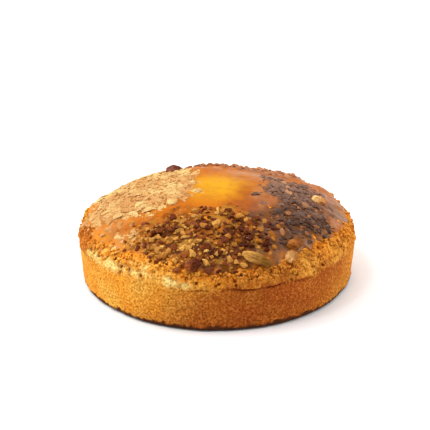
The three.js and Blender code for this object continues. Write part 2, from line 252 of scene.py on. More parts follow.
def top_height(x, y):
    """Height of the baked top over a place. Its relief dies out at the rim."""
    radius = np.hypot(x, y)
    fade = smooth_step(RIM_RADIUS - radius, -0.001, RELIEF_EDGE)
    return dome_height(radius) + fade * dome_relief(x, y)


def ring_wave(waves, angle):
    """A sum of sine waves round the cake, over an angle in radians."""
    return sum(height * np.sin(turns * angle + phase) for height, turns, phase in waves)


def read_round(table, angle):
    """A table's value at an angle in degrees, in straight lines between its rows."""
    at, values = np.transpose(table)
    return np.interp((angle + 180) % 360 - 180, at, values)


def sponge_section():
    """Radius and height of the half section's rows: floor, quarter-round foot, straight side, then the
    dome, whose rows are close together at the rim and wide apart under the caramel."""
    floor_r = FOOT_RADIUS * np.linspace(0.2, 0.96, FLOOR_ROWS)
    bend = np.radians(np.linspace(0, 90, FOOT_ROWS))
    foot_r = FOOT_RADIUS + (BASE_RADIUS - FOOT_RADIUS) * np.sin(bend)
    foot_z = FOOT_HEIGHT * (1 - np.cos(bend))
    share = np.linspace(0, 1, SIDE_ROWS + 1)[1:]
    side_r = BASE_RADIUS + (RIM_RADIUS - BASE_RADIUS) * share
    side_z = FOOT_HEIGHT + (LIP_HEIGHT - FOOT_HEIGHT) * share
    fine_r = RIM_RADIUS * np.cos(np.linspace(0, np.pi / 2, 2000))
    fine_z = dome_height(fine_r)
    length = np.concatenate([[0], np.cumsum(np.hypot(np.diff(fine_r), np.diff(fine_z)))])
    close = np.linspace(0, RIM_LENGTH, RIM_ROWS)
    wide = np.linspace(RIM_LENGTH, length[-1], DOME_ROWS + 2)[1:-1]
    graded = np.concatenate([close, wide])
    dome_r = np.interp(graded, length, fine_r)
    dome_z = np.interp(graded, length, fine_z)
    radius = np.concatenate([floor_r, foot_r, side_r, dome_r])
    height = np.concatenate([0 * floor_r, foot_z, side_z, dome_z])
    return radius, height


def new_mesh(name, points, faces, rounded=True):
    """A mesh from an array of points and a list of faces, shaded smooth or flat."""
    mesh = bpy.data.meshes.new(name)
    mesh.from_pydata(points.tolist(), [], faces)
    mesh.polygons.foreach_set("use_smooth", np.full(len(mesh.polygons), rounded))
    return mesh


def closed_grid(name, rows, first_pole, last_pole):
    """A closed mesh from rings of points, a ring a row, with a fan of triangles to a pole at each end."""
    row_count, columns = rows.shape[:2]
    points = np.concatenate([rows.reshape(-1, 3), [first_pole, last_pole]])
    here = np.arange(row_count * columns).reshape(row_count, columns)
    beside = np.roll(here, -1, axis=1)
    quads = np.stack([here[:-1], beside[:-1], beside[1:], here[1:]], -1).reshape(-1, 4)
    low, high = row_count * columns, row_count * columns + 1
    first = np.stack([np.full(columns, low), beside[0], here[0]], -1)
    last = np.stack([np.full(columns, high), here[-1], beside[-1]], -1)
    return new_mesh(name, points, quads.tolist() + first.tolist() + last.tolist())


def give_values(mesh, name, values):
    """Stores one number a point on the mesh, for a material to read."""
    padded = np.zeros(len(mesh.vertices), dtype=np.float32)
    padded[: np.size(values)] = np.ravel(values)
    mesh.attributes.new(name, "FLOAT", "POINT").data.foreach_set("value", padded)


def add_piece(name, mesh, material, slot, *replaced):
    """Puts a finished piece on the cake, in place of any CAD nodes named. Its mesh holds its place."""
    piece = bpy.data.objects.new(name, mesh)
    scene.collection.objects.link(piece)
    mesh.materials.append(material)
    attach(piece, "root")
    if replaced:
        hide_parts(*replaced)


def caramel_edge(angle):
    """Radius where the caramel ends, over an angle in degrees: a ring with runs, ragged by two noises."""
    ring = flat_points(*on_circle(0.104, np.radians(angle)))
    ragged = 0.0016 * soft_noise(ring, 0.011, 31) + 0.0018 * soft_noise(ring, 0.0045, 32)
    runs = sum(far * bell(turn_between(angle, middle), spread) for middle, spread, far in CARAMEL_RUNS)
    return CARAMEL_RADIUS + ragged + runs


def rim_crags(points):
    """Grain and pits of torn crust at some points, as two numbers."""
    grains = 0.65 * soft_noise(points, GRAIN_SIZE, 3) + 0.35 * soft_noise(points, 0.6 * GRAIN_SIZE, 4)
    return grains, 1 - smooth_step(nearest_seed(points, PIT_SIZE, 7), 0.10, 0.34)


section_r, section_z = sponge_section()
angle = np.linspace(0, 2 * np.pi, AROUND, endpoint=False)
degrees = np.degrees(angle)[None, :]
ring_x, ring_y = on_circle(section_r[:, None], angle)
ring_z = np.repeat(section_z[:, None], AROUND, axis=1)
outward_r, outward_z = np.stack([np.gradient(section_z), -np.gradient(section_r)])[..., None]
outward = np.broadcast_arrays(*on_circle(outward_r, angle), outward_z)
outward = np.stack(outward, -1) / np.hypot(outward_r, outward_z)[..., None]
smooth = np.stack([ring_x, ring_y, ring_z], -1)
lip = LIP_HEIGHT + 0.0012 * soft_noise(smooth * [1, 1, 0], 0.011, 5)
off_floor = smooth_step(ring_z, 0.0, 0.0006)
on_side = 1 - smooth_step(ring_z, LIP_HEIGHT, LIP_HEIGHT + WAVE_FADE)
above_lip = smooth_step(ring_z, lip - 0.0006, lip + 0.0008)
radius = np.hypot(ring_x, ring_y)
on_rim = above_lip * smooth_step(radius, RIM_RADIUS - 2 * WAVE_FADE, RIM_RADIUS - WAVE_FADE)
past_caramel = radius - caramel_edge(degrees)
open_crumb = above_lip * smooth_step(past_caramel, -0.004, -0.001)
side_crumb = off_floor * (1 - above_lip)
sideways = on_side * ring_wave(SIDE_WAVES, angle) + on_rim * ring_wave(RIM_WAVES, angle)
lift = np.where(ring_z > SHOULDER_HEIGHT, top_height(ring_x, ring_y) - dome_height(radius), 0)
pores = 1 - smooth_step(nearest_seed(smooth, PORE_SIZE, 1), 0.12, 0.45)
lumps = soft_noise(smooth, 0.007, 2)
grains, pits = rim_crags(smooth)
foot_bumps = 0.7 * soft_noise(smooth, 0.0045, 6) + 0.6 * soft_noise(smooth, 0.0024, 16)
foot_bumps = foot_bumps * bell(ring_z - FOOT_HEIGHT, 0.0025)
creased = sum(bell(turn_between(degrees, middle), spread, 4) for middle, spread in CREASED)
creased = creased * np.clip(0.75 + 0.9 * soft_noise(smooth * [1, 1, 0], 0.008, 9), 0, 1)
crease = bell(ring_z - lip + CREASE_DEPTH, CREASE_DEPTH) * side_crumb * creased
proud = side_crumb * (SIDE_LUMPS * lumps - PORE_DEPTH * pores) + FOOT_BUMPS * foot_bumps
proud = proud + open_crumb * (RIM_LUMPS * lumps + GRAIN_DEPTH * grains - PIT_DEPTH * pits)
proud = proud + LIP_OVERHANG * above_lip * on_side - CREASE_DEPTH * crease
rings = smooth + outward * (proud * off_floor)[..., None]
rings = rings + np.stack([*on_circle(sideways, angle), lift], -1)
sponge_mesh = closed_grid("sponge", rings, (0, 0, 0), (0, 0, top_height(0.0, 0.0)))

tears = 0
for tear_angle, tear_height, width in PALE_TEARS:
    away = np.radians(turn_between(degrees, tear_angle)) * RIM_RADIUS
    tears = tears + bell(away, width) * bell(ring_z - tear_height, TEAR_SHAPE * width)
leaned = degrees + BROWNED_SHADE_LEAN * (0.5 - ring_z / LIP_HEIGHT)
patchy = 0.12 * soft_noise(smooth, 0.014, 10)
to_rim = smooth_step(ring_z + 0.003 * soft_noise(smooth, 0.007, 18), lip - 0.003, lip + 0.004)
browning_and_shade = (1 - to_rim) * (read_round(BROWNED_AND_SHADED, leaned) + patchy)
browning_and_shade = browning_and_shade + to_rim * (read_round(BROWNED_RIM, degrees) + 2 * patchy)
# Darker in the pores of the side, the pits and hollows of the rim and the crease below the lip: painted
# shade.
hollows = np.clip(pits + 1.1 * np.clip(-grains - 0.1, 0, 1), 0, 1)
past_caramel = past_caramel + 0.003 * soft_noise(smooth, 0.006, 17)
sponge_values = {
    "sunk": 0.7 * side_crumb * pores + open_crumb * hollows + crease,
    "torn": tears * (1.1 + 1.1 * soft_noise(smooth, 0.004, 8)),
    "browned": browning_and_shade,
    "soaked": above_lip * (1 - smooth_step(past_caramel, -0.001, 0.004)),
    # Darker at the foot: partly burnt crust, partly painted shade where the cake meets the floor.
    "under": 1 - smooth_step(ring_z + 0.0022 * foot_bumps, 0.0034, 0.0050),
}
for name, values in sponge_values.items():
    give_values(sponge_mesh, name, np.clip(values, 0, 1))


def start_material(name):
    """A new material, with its tree and its Principled shader."""
    material = bpy.data.materials.new(name)
    material.use_nodes = True
    return material, material.node_tree, material.node_tree.nodes["Principled BSDF"]


def add_node(tree, kind, inputs=(), **settings):
    """Adds a node. Each input is a value, or the output of another node, which is linked."""
    node = tree.nodes.new(kind)
    for key, value in settings.items():
        setattr(node, key, value)
    for key, value in dict(inputs).items():
        if isinstance(value, bpy.types.NodeSocket):
            tree.links.new(value, node.inputs[key])
        else:
            node.inputs[key].default_value = value
    return node


def read_value(tree, name):
    """The number that the mesh stores under this name."""
    return add_node(tree, "ShaderNodeAttribute", attribute_name=name).outputs["Fac"]


def calculate(tree, operation, first, second):
    """The result of one sum on two numbers."""
    return add_node(tree, "ShaderNodeMath", {0: first, 1: second}, operation=operation).outputs[0]


def mix_colours(tree, share, first, second, blend_type="MIX"):
    """Two colours mixed by a share. The sockets are numbered, because a Mix node repeats their names."""
    inputs = {0: share, 6: first, 7: second}
    return add_node(tree, "ShaderNodeMix", inputs, data_type="RGBA", blend_type=blend_type).outputs[2]


def tint(tree, colour, name, towards, share=1.0):
    """A colour drawn towards another by the number stored under this name, times a share."""
    share = calculate(tree, "MULTIPLY", read_value(tree, name), share)
    return mix_colours(tree, share, colour, towards)


def ramp(tree, share, low, high, bottom=0.0, top=1.0):
    """The bottom below low and the top above high, in a straight line between."""
    inputs = {"Value": share, "From Min": low, "From Max": high, "To Min": bottom, "To Max": top}
    return add_node(tree, "ShaderNodeMapRange", inputs, clamp=True).outputs["Result"]


def dress(tree, shader, colour, height, roughness, specular, strength, depth):
    """Gives a shader its colour, roughness and shine, and a bump of this strength and depth."""
    tree.links.new(colour, shader.inputs["Base Color"])
    shader.inputs["Roughness"].default_value = roughness
    shader.inputs["Specular IOR Level"].default_value = specular
    bump = add_node(tree, "ShaderNodeBump", {"Height": height, "Strength": strength, "Distance": depth})
    tree.links.new(bump.outputs["Normal"], shader.inputs["Normal"])


def crumb_grain_group():
    """Crumb grain as three masks: small round pores, a fine cloud and a broad cloud."""
    group = bpy.data.node_groups.new("crumb_grain", "ShaderNodeTree")
    face = group.interface
    face.new_socket(name="Place", in_out="INPUT", socket_type="NodeSocketVector")
    face.new_socket(name="Pores a metre", in_out="INPUT", socket_type="NodeSocketFloat")
    for mask in ("Pores", "Fine", "Broad"):
        face.new_socket(name=mask, in_out="OUTPUT", socket_type="NodeSocketFloat")
    given = group.nodes.new("NodeGroupInput").outputs
    result = group.nodes.new("NodeGroupOutput").inputs
    place, pores_a_metre = given["Place"], given["Pores a metre"]
    cells = add_node(group, "ShaderNodeTexVoronoi", {"Vector": place, "Scale": pores_a_metre})
    group.links.new(ramp(group, cells.outputs["Distance"], 0.5, 0.12), result["Pores"])
    for mask, closeness, detail in (("Fine", 1.3, 3.0), ("Broad", 0.09, 4.0)):
        scale = calculate(group, "MULTIPLY", pores_a_metre, closeness)
        inputs = {"Vector": place, "Scale": scale, "Detail": detail}
        group.links.new(add_node(group, "ShaderNodeTexNoise", inputs).outputs["Fac"], result[mask])
    return group


def add_grain(tree, pores_a_metre):
    """The crumb grain group in a material, over the piece's own coordinates."""
    place = add_node(tree, "ShaderNodeTexCoord").outputs["Object"]
    grain = add_node(tree, "ShaderNodeGroup", node_tree=crumb_grain)
    tree.links.new(place, grain.inputs["Place"])
    grain.inputs["Pores a metre"].default_value = pores_a_metre
    return grain.outputs


crumb_grain = crumb_grain_group()
GOLDEN = (0.98, 0.52, 0.088, 1)
AMBER = (1.0, 0.42, 0.044, 1)
BROWN_CRUST_AND_SHADE = (0.52, 0.142, 0.026, 1)
DARK_CRUST_AND_SHADE = (0.09, 0.028, 0.010, 1)
PALE_CRUMB = (1.0, 0.76, 0.28, 1)
SOAKED_CRUMB = (0.88, 0.30, 0.022, 1)
# The dark grains of the crumb multiply its colour by the first of these; its pores, pits and the crease
# below the lip, as painted shade, by the second.
GRAIN_TINT = (0.66, 0.50, 0.26, 1)
PIT_SHADE_TINT = (0.31, 0.12, 0.025, 1)

sponge_finish, tree, shader = start_material("sponge_crumb")
grain = add_grain(tree, 470.0)
colour = mix_colours(tree, ramp(tree, grain["Broad"], 0.38, 0.64), GOLDEN, AMBER)
# Toasted crust, and on the front of the side painted shade where the key light falls least.
colour = tint(tree, colour, "browned", BROWN_CRUST_AND_SHADE)
colour = tint(tree, colour, "soaked", SOAKED_CRUMB, 0.7)
colour = tint(tree, colour, "torn", PALE_CRUMB)
coarser = ramp(tree, read_value(tree, "browned"), 0.0, 1.0, 0.85, 1.5)
specks = calculate(tree, "MULTIPLY", ramp(tree, grain["Fine"], 0.62, 0.38), coarser)
colour = mix_colours(tree, specks, colour, GRAIN_TINT, "MULTIPLY")
# Painted shade in the pores, pits and crease.
pores = calculate(tree, "MULTIPLY", grain["Pores"], 0.35)
sunk = calculate(tree, "MAXIMUM", read_value(tree, "sunk"), pores)
colour = mix_colours(tree, sunk, colour, PIT_SHADE_TINT, "MULTIPLY")
# The foot's burnt crust, with painted shade where the cake meets the floor.
colour = tint(tree, colour, "under", DARK_CRUST_AND_SHADE)
height = calculate(tree, "SUBTRACT", grain["Fine"], grain["Pores"])
dress(tree, shader, colour, height, roughness=0.9, specular=0.05, strength=0.8, depth=0.0007)
add_piece("sponge", sponge_mesh, sponge_finish, "sponge", "cake")


# ---- The caramel --------------------------------------------------------------------------------
# Butter caramel poured warm over the middle of the dome. It ran down to the cracked rim, lies thick
# in the bare strips, sinks in round the nuts, and set with a glossy, streaked skin.
LATTICE = 0.0075  # the larger sown nuts, as they are fused to the solid cake
# Two more sizes of chopped nut in each field: lattice and share of the usual size.
FINER_NUTS = {
    "pistachio": ((0.0031, 0.84), (0.0020, 0.44)),
    "walnut": ((0.0027, 0.76), (0.0018, 0.42)),
    "almond": ((0.0022, 0.62), (0.0015, 0.36)),
    "hazelnut": ((0.0028, 0.70), (0.0019, 0.36)),
}
GOLDEN_ANGLE = np.pi * (3 - np.sqrt(5))
SOWN_JITTER = 0.0012
SOWN_LEAN = 20
STREWN = 0.018  # how far the finer nuts fell across a field's edge, all in all
# How far noise moves the edges: a broad one, and a fine one for the nuts and for the caramel.
BROAD_STRAY = 0.006
FINE_STRAY = 0.005
POOL_STRAY = 0.006
SPARSEST_COVER = 0.25
# Where each field's finer nuts spilled beyond it: how thickly, angle, radius and half sizes.
SPILLS = {
    "pistachio": (1.1, -92, 0.101, 26, 0.008),
    "walnut": (1.0, -45, 0.078, 11, 0.026),
    "almond": (0.6, -141, 0.096, 11, 0.009),
    "hazelnut": (0.6, 60, 0.060, 12, 0.010),
}
# Patches of smooth caramel where hardly a nut of a field fell: angle, radius and half sizes.
GREY_PATCH = (-3, 0.099, 15, 0.014)
KEPT_CLEAR = {
    "pistachio": ((-141, 0.068, 13, 0.017),),
    "walnut": (GREY_PATCH, (-35, 0.049, 16, 0.011)),
}
CLEARED = 0.3  # its nuts are left out where a patch is stronger than this
# Nearer to the apex than this, most of the finer pistachio is left out.
THINNED_WITHIN = 0.058
THINNED_SHARE = 0.7
# How far past the caramel's edge a field's finer nuts may lie, and how near to the rim.
PAST_EDGE = {"pistachio": 0.002, "walnut": -0.003, "almond": 0.002, "hazelnut": 0.002}
FROM_RIM = 0.003
DARK_SHARE = {"pistachio": 0.5, "walnut": 0.88}
SMALLEST, LARGEST = 0.75, 1.25
# How far from the end of a larger piece the larger sown nuts and the finer ones stay.
LARGE_CLEARANCE = 0.005
FINER_CLEARANCE = -0.001
FINER_FROM = 10000  # the numbers of the finer nuts are above this
# Chopped pieces that lie by themselves or in small heaps: place, half the length and width in
# millimetres, and spin.
PALE_NUTS = (
    (-49.1, -41.5, 2.6, 2.4, 90), (-54.5, -43.2, 3.3, 2, 90), (-65.5, -45.3, 3, 1.6, 90),
    (-53.3, -63.6, 2.7, 2.5, 0), (-47.2, -74.1, 2.3, 2.3, 90), (-41.2, -68.7, 1.7, 1.3, 90),
    (-37.9, -76.1, 2.3, 1.6, 0), (-34, -80.3, 1.7, 1.3, 0), (-81, -63.4, 2.3, 1.7, 0),
    (-76.6, -72.3, 3.5, 1.9, 0), (-54.5, -83.8, 2.5, 1.9, 90), (-41.5, -84.5, 3, 1.7, 0),
    (-43.3, -88.9, 1.3, 1.2, 0), (-31.4, -97.1, 2.7, 2.3, 90), (-54.1, -72.9, 1.9, 1.5, 90),
    (-28, -40.4, 1.7, 1.4, 90), (-17.7, -42.7, 3.1, 2.4, 0), (-16.8, -51.2, 3.1, 2.5, 0),
    (-28.5, -69.1, 3.4, 2.1, 0), (-24.9, -77.4, 2.7, 1.4, 0), (1, -44.6, 3.7, 1.6, 90),
    (-0.9, -64, 3.1, 2.9, 0), (18.5, -53.8, 4.5, 3.1, 90), (24.6, -56.4, 2.7, 2.2, 0),
    (7.8, -78.2, 2.7, 2.4, 0), (12.7, -85.4, 2.6, 2.3, 90), (-6.6, -83.2, 2.2, 1.5, 90),
    (-17.9, -85.8, 1.9, 1.5, 0), (-25.9, -88.2, 2.5, 2.3, 90), (-18.3, -91.9, 2.4, 2.1, 90),
    (-7.3, -92.1, 2.3, 1.4, 0), (-0.5, -93.9, 2.3, 1.7, 90), (-9.2, -99.4, 2.4, 1.5, 0),
    (34, -67.3, 3.9, 2.3, 90), (31.6, -86.3, 1.7, 1.5, 90), (-30.1, -47.7, 2.4, 1.9, 90),
    (4.7, -90.2, 1.9, 1.6, 0), (51, -66.2, 4.4, 2.3, 90), (65.9, -54.5, 2.7, 2.1, 0),
)
DARK_NUTS = (
    (-64.7, -52.7, 1.6, 1.6, 90), (-54.8, -55.8, 3.5, 2.2, 0), (-38, -57.7, 3, 1.9, 90),
    (-59.4, -75.1, 1.8, 1.5, 90), (-65.7, -73.7, 1.8, 1.3, 90), (-50, -81.6, 3, 2.3, 90),
    (-33.1, -86, 3, 2.6, 0), (-42.8, -94.1, 3, 1.9, 0), (-51.1, -70.9, 1.9, 1.9, 0),
    (-22.9, -59.9, 4.4, 1.9, 90), (-18.6, -62, 3.8, 2.1, 90), (-4.4, -41.6, 3.1, 2, 90),
    (-10.5, -61.8, 2.5, 2.3, 90), (24.9, -63, 3.8, 2.1, 0), (23.2, -69.3, 3, 1.9, 90),
    (2.1, -85.3, 2.6, 2.1, 0), (-10.8, -80.6, 2.7, 2.3, 0), (-24.6, -94.3, 2.6, 2, 0),
    (-28.5, -102.5, 3.4, 1.8, 0), (6.2, -100.1, 2.6, 1.5, 0), (13, -95.6, 1.9, 1.5, 0),
    (12.2, -100.2, 2.2, 1.3, 0), (-2, -101.6, 1.9, 1.5, 0), (38.5, -87.5, 2.8, 2.2, 0),
    (26, -84.7, 2.3, 2.2, 0), (9.6, -47.2, 2.4, 2.3, 90), (12.6, -56.2, 2.3, 2.2, 0),
    (7.2, -63.8, 2.3, 2.2, 0), (17.8, -73.2, 3, 1.9, 90), (26.9, -76.6, 2.4, 1.9, 90),
    (-13, -47, 2.4, 1.9, 90), (-35.8, -67.4, 2.1, 1.9, 90), (-39.3, -80.3, 2.7, 1.3, 0),
    (-70.3, -74.7, 1.9, 1.7, 0), (-3.6, -74, 2.1, 1.9, 90), (-13.5, -71.5, 2.2, 1.9, 90),
    (-11.1, -88.3, 1.9, 1.6, 0), (65.8, -63.6, 3.9, 2.6, 0), (71.3, -63.1, 2.7, 2, 0),
    (62.1, -67.4, 2.3, 2.1, 0), (74.5, -7.9, 2.4, 2.2, 0), (67.7, -14.9, 3.3, 3.2, 90),
    (71.2, -72.8, 2.7, 1.6, 0), (68.3, -31.4, 2.8, 2, 0), (64.5, -6.2, 2.1, 1.6, 90),
    (51, -76.6, 2.7, 1.7, 0), (56.2, -52.2, 3.8, 1.6, 90), (56, -65.8, 3.6, 1.5, 90),
)
PLACED_HEIGHT = 0.85  # as a share of the width
PLACED_TURN = 50
PLACED_CLEARANCE = 0.005
BESIDE_PLACED = 0.8  # of half its length, the finer nuts' least distance from a placed nut
PLACED_SEED = 2000
RIGHT_OF = 0.045  # placed nuts further right than this are walnut, and the others are pistachio
# The larger pieces: place, half the length, width and height, and spin.
LARGE_PIECES = {
    "walnut_half_front": (0.030, -0.0965, (0.0104, 0.0044, 0.0034), -20),
    "pistachio_whole_front": (-0.018, -0.102, (0.0056, 0.0044, 0.0036), 25),
    "hazelnut_half_right": (0.056, -0.086, (0.0046, 0.0040, 0.0036), 60),
    "hazelnut_lump_right": (0.0595, -0.0765, (0.0048, 0.0040, 0.0034), 0),
    "hazelnut_piece_right": (0.082, -0.002, (0.0054, 0.0042, 0.0034), 10),
    "almond_flake_upper": (-0.016, -0.010, (0.0048, 0.0040, 0.0015), 10),
    "almond_flake_lower": (-0.035, -0.028, (0.0048, 0.0040, 0.0016), 60),
    "walnut_piece_back": (-0.036, 0.058, (0.0062, 0.0044, 0.0036), 15),
}
POOL_AROUND = 900
POOL_ROWS = 140
UNDER_ROWS = 13
POOL_THIN = 0.0005
POOL_THICK = 0.0010
POOL_LAP = 0.0003  # how far the caramel sinks into the crust
POOL_SUNK = 0.0024  # how far its hidden underside lies below the crust
POOL_BEAD = 0.003  # width of the rounded edge
# Angles where the caramel laps smoothly over the rim's crags, and half the spread.
RIM_LAPS = (-90, -60, -35, 12)
LAP_SPREAD = 28
# The map of how far the caramel climbs the nuts: its width and cells, how many cells a chopped nut
# lifts to each side, and the shares of half a nut's height that the caramel climbs.
MAP_WIDTH = 0.24
MAP_STEP = 0.0005
LIFTED_CELLS = 14
LARGE_CLIMB = 0.4
CHOPPED_CLIMB = 0.34
# How rough the caramel lies over each field's finest bits.
ROUGHNESS = {"pistachio": 0.0009, "walnut": 0.0009, "almond": 0.0005, "hazelnut": 0.0010}
# Where the caramel has another colour: how strongly, angle, radius and half sizes of each patch. Some
# patches are painted light: the darker ones right of the apex and of the strip are painted shade, and the
# pale streaked ones at the back right are a painted sheen.
PATCHES = {
    "deep": ((1.0, -52, 0.045, 26, 0.014), (0.6, -20, 0.028, 40, 0.010), (0.5, -8, 0.100, 20, 0.010)),
    "peach": ((0.7, -143, 0.094, 15, 0.017),),
    "strip": ((1.0, -57, 0.078, 7, 0.026), (0.6, -50, 0.052, 14, 0.012), (1.0, -60, 0.098, 9, 0.012)),
    # Painted shade, in a dark colour, right of the strip.
    "brown": ((0.9, -43, 0.082, 11, 0.022), (0.7, -56, 0.100, 9, 0.010), (0.75, -38, 0.057, 15, 0.010)),
    "grey": ((1.0, *GREY_PATCH),),
    "milky": ((1.0, 42, 0.078, 36, 0.034), (0.7, 160, 0.101, 22, 0.010), (0.6, -28, 0.047, 16, 0.009)),
    "filmy": ((0.9, 55, 0.043, 38, 0.012), (0.3, -24, 0.040, 22, 0.008)),
    "warm": ((1.0, -132, 0.080, 14, 0.030), (1.0, -92, 0.072, 9, 0.012), (1.0, -92, 0.048, 40, 0.010)),
}


def draw(number, channel):
    """A repeatable draw from 0 to 1 for a piece's number and a channel."""
    large = np.sin(number * 12.9898 + channel * 78.233) * 43758.5453
    return large - np.floor(large)


def near(x, y, angle, radius, half_turn, half_length):
    """A soft patch, 1 in its middle: an angle, a radius, and half sizes round the cake and along it."""
    round_it = turn_between(np.degrees(np.arctan2(y, x)), angle)
    return bell(round_it, half_turn) * bell(np.hypot(x, y) - radius, half_length)


def patchwork(x, y, patches):
    """Soft patches added up. Each is its strength, and then what near takes."""
    return sum(much * near(x, y, *patch) for much, *patch in patches)


def strayed(x, y, fine):
    """A place moved by a broad noise and by a fine one of this strength, so that edges come out ragged."""
    flat = flat_points(x, y)
    broad_x, broad_y = (BROAD_STRAY * soft_noise(flat, 0.012, channel) for channel in (41, 42))
    fine_x, fine_y = (fine * soft_noise(flat, 0.005, channel) for channel in (43, 44))
    return x + broad_x + fine_x, y + broad_y + fine_y


def sow(lattice, channel, field=None):
    """Pieces on a sunflower lattice, each strayed a little from it. The larger ones are kept where any
    field covers them. The finer ones of one field are kept where it covers them or spilled. Returns each
    piece's number, place and field."""
    reach = max(facts[2] for facts in FIELDS.values()) + FIELD_EDGE
    number = np.arange(1, int((reach / lattice) ** 2) + 1)
    ring = lattice * np.sqrt(number)
    away = ring + SOWN_JITTER * (2 * draw(number, channel + 1) - 1)
    turn = number * GOLDEN_ANGLE + SOWN_JITTER * (2 * draw(number, channel + 2) - 1) / ring
    x, y = on_circle(away, turn)
    needed = SPARSEST_COVER + (1 - 2 * SPARSEST_COVER) * draw(number, channel + 3)
    names = np.full(len(number), "", dtype=object)
    placed = np.array(PALE_NUTS + DARK_NUTS) / 1000
    from_placed = np.hypot(x - placed[:, :1], y - placed[:, 1:2])
    if field is None:
        for each in FIELDS:
            names[(names == "") & (cover(each, x, y) > needed)] = each
        names[(from_placed.min(axis=0) < PLACED_CLEARANCE) | (names == "pistachio")] = ""
        clearance = LARGE_CLEARANCE
    else:
        fell_x, fell_y = strayed(x, y, FINE_STRAY)
        fell_x = fell_x + STREWN * (draw(number, channel + 6) - 0.5)
        fell_y = fell_y + STREWN * (draw(number, channel + 7) - 0.5)
        covered = np.maximum(cover(field, fell_x, fell_y), patchwork(fell_x, fell_y, [SPILLS[field]]))
        names[covered > needed] = field
        for clear in KEPT_CLEAR.get(field, ()):
            names[near(x, y, *clear) > CLEARED] = ""
        if field == "pistachio":
            names[(away < THINNED_WITHIN) & (draw(number, channel + 5) < THINNED_SHARE)] = ""
        names[(from_placed < BESIDE_PLACED * placed[:, 2:3]).any(axis=0)] = ""
        furthest = caramel_edge(np.degrees(turn)) + PAST_EDGE[field]
        names[away > np.minimum(furthest, RIM_RADIUS - FROM_RIM)] = ""
        clearance = FINER_CLEARANCE
    for large_x, large_y, half, _spin in LARGE_PIECES.values():
        names[np.hypot(x - large_x, y - large_y) < half[0] + clearance] = ""
    sown = names != ""
    return number[sown], x[sown], y[sown], names[sown]


def placed_nuts():
    """The placed pieces, in columns: number, place, half sizes, spin, lean, field and darkness, each
    turned a little from its listed spin."""
    listed = np.array(PALE_NUTS + DARK_NUTS)
    number = PLACED_SEED + np.arange(len(listed))
    x, y, length, width = listed[:, :4].T / 1000
    half = np.stack([length, width, PLACED_HEIGHT * width], -1)
    spin = listed[:, 4] + PLACED_TURN * (draw(number, 9) - 0.5)
    lean = SOWN_LEAN * (2 * draw(number, 8) - 1) * PLACED_HEIGHT
    names = np.where(x > RIGHT_OF, "walnut", "pistachio").astype(object)
    return number, x, y, half, spin, lean, names, np.repeat([0, 1], [len(PALE_NUTS), len(DARK_NUTS)])


def sow_all():
    """Every chopped piece, placed or sown, in the columns of the placed ones."""
    passes = [(LATTICE, 1.0, 0, None)]
    for order, (field, sizes) in enumerate(FINER_NUTS.items()):
        for rank, (lattice, scale) in enumerate(sizes):
            passes.append((lattice, scale, 20 * (2 * order + rank + 1), field))
    columns = [placed_nuts()]
    for lattice, scale, channel, field in passes:
        number, x, y, names = sow(lattice, channel, field)
        size = (SMALLEST + (LARGEST - SMALLEST) * draw(number, channel + 4)) ** (1 if field is None else 2)
        half = np.array([FIELDS[name][4] for name in names]) * scale * size[:, None]
        spin = 360 * draw(number, channel + 9)
        lean = SOWN_LEAN * (2 * draw(number, channel + 8) - 1) * half[:, 2] / half[:, 1]
        dark = draw(number, 162) < np.array([DARK_SHARE.get(name, 0) for name in names])
        columns.append((number + 1000 * channel, x, y, half, spin, lean, names, dark))
    return [np.concatenate(column) for column in zip(*columns)]


number, sown_x, sown_y, sown_half, sown_spin, sown_lean, sown_field, sown_dark = sow_all()


def climb_over_nuts():
    """A square map of how far the caramel climbs: round every piece a smooth bump, the highest kept."""
    cells = int(MAP_WIDTH / MAP_STEP)
    grid = (np.arange(cells) - cells / 2) * MAP_STEP
    climb = np.zeros((cells, cells))
    for large_x, large_y, half, _spin in LARGE_PIECES.values():
        away = np.hypot(grid[None, :] - large_x, grid[:, None] - large_y)
        climb = np.maximum(climb, LARGE_CLIMB * half[2] * bell(away, 1.2 * half[1]))
    column, row = sown_x / MAP_STEP + cells / 2, sown_y / MAP_STEP + cells / 2
    reach = np.arange(-LIFTED_CELLS, LIFTED_CELLS + 1)
    near_x = np.round(column).astype(int)[:, None, None] + reach[None, None, :]
    near_y = np.round(row).astype(int)[:, None, None] + reach[None, :, None]
    away = np.hypot(near_x - column[:, None, None], near_y - row[:, None, None]) * MAP_STEP
    wide = 0.6 * (sown_half[:, 0] + sown_half[:, 1])[:, None, None]
    bump = CHOPPED_CLIMB * sown_half[:, 2][:, None, None] * bell(away, wide)
    np.maximum.at(climb, (np.broadcast_to(near_y, bump.shape), np.broadcast_to(near_x, bump.shape)), bump)
    return climb


def read_map(climb, x, y):
    """The map's height at a place, blended between its four nearest cells."""
    column, row = x / MAP_STEP + len(climb) / 2, y / MAP_STEP + len(climb) / 2
    left, low = np.floor(column).astype(int), np.floor(row).astype(int)
    across, up = column - left, row - low
    lower = climb[low, left] * (1 - across) + climb[low, left + 1] * across
    upper = climb[low + 1, left] * (1 - across) + climb[low + 1, left + 1] * across
    return lower * (1 - up) + upper * up


def streaks_down(x, y):
    """Streaks that run down from the apex: noise over the direction, drawn out along the radius."""
    radius = np.hypot(x, y)
    outwards = 0.095 / np.maximum(radius, 1e-6)
    drawn_out = np.stack([outwards * x, outwards * y, radius / 6], -1)
    return soft_noise(drawn_out, 0.0034, 15) * smooth_step(radius, 0.015, 0.075)


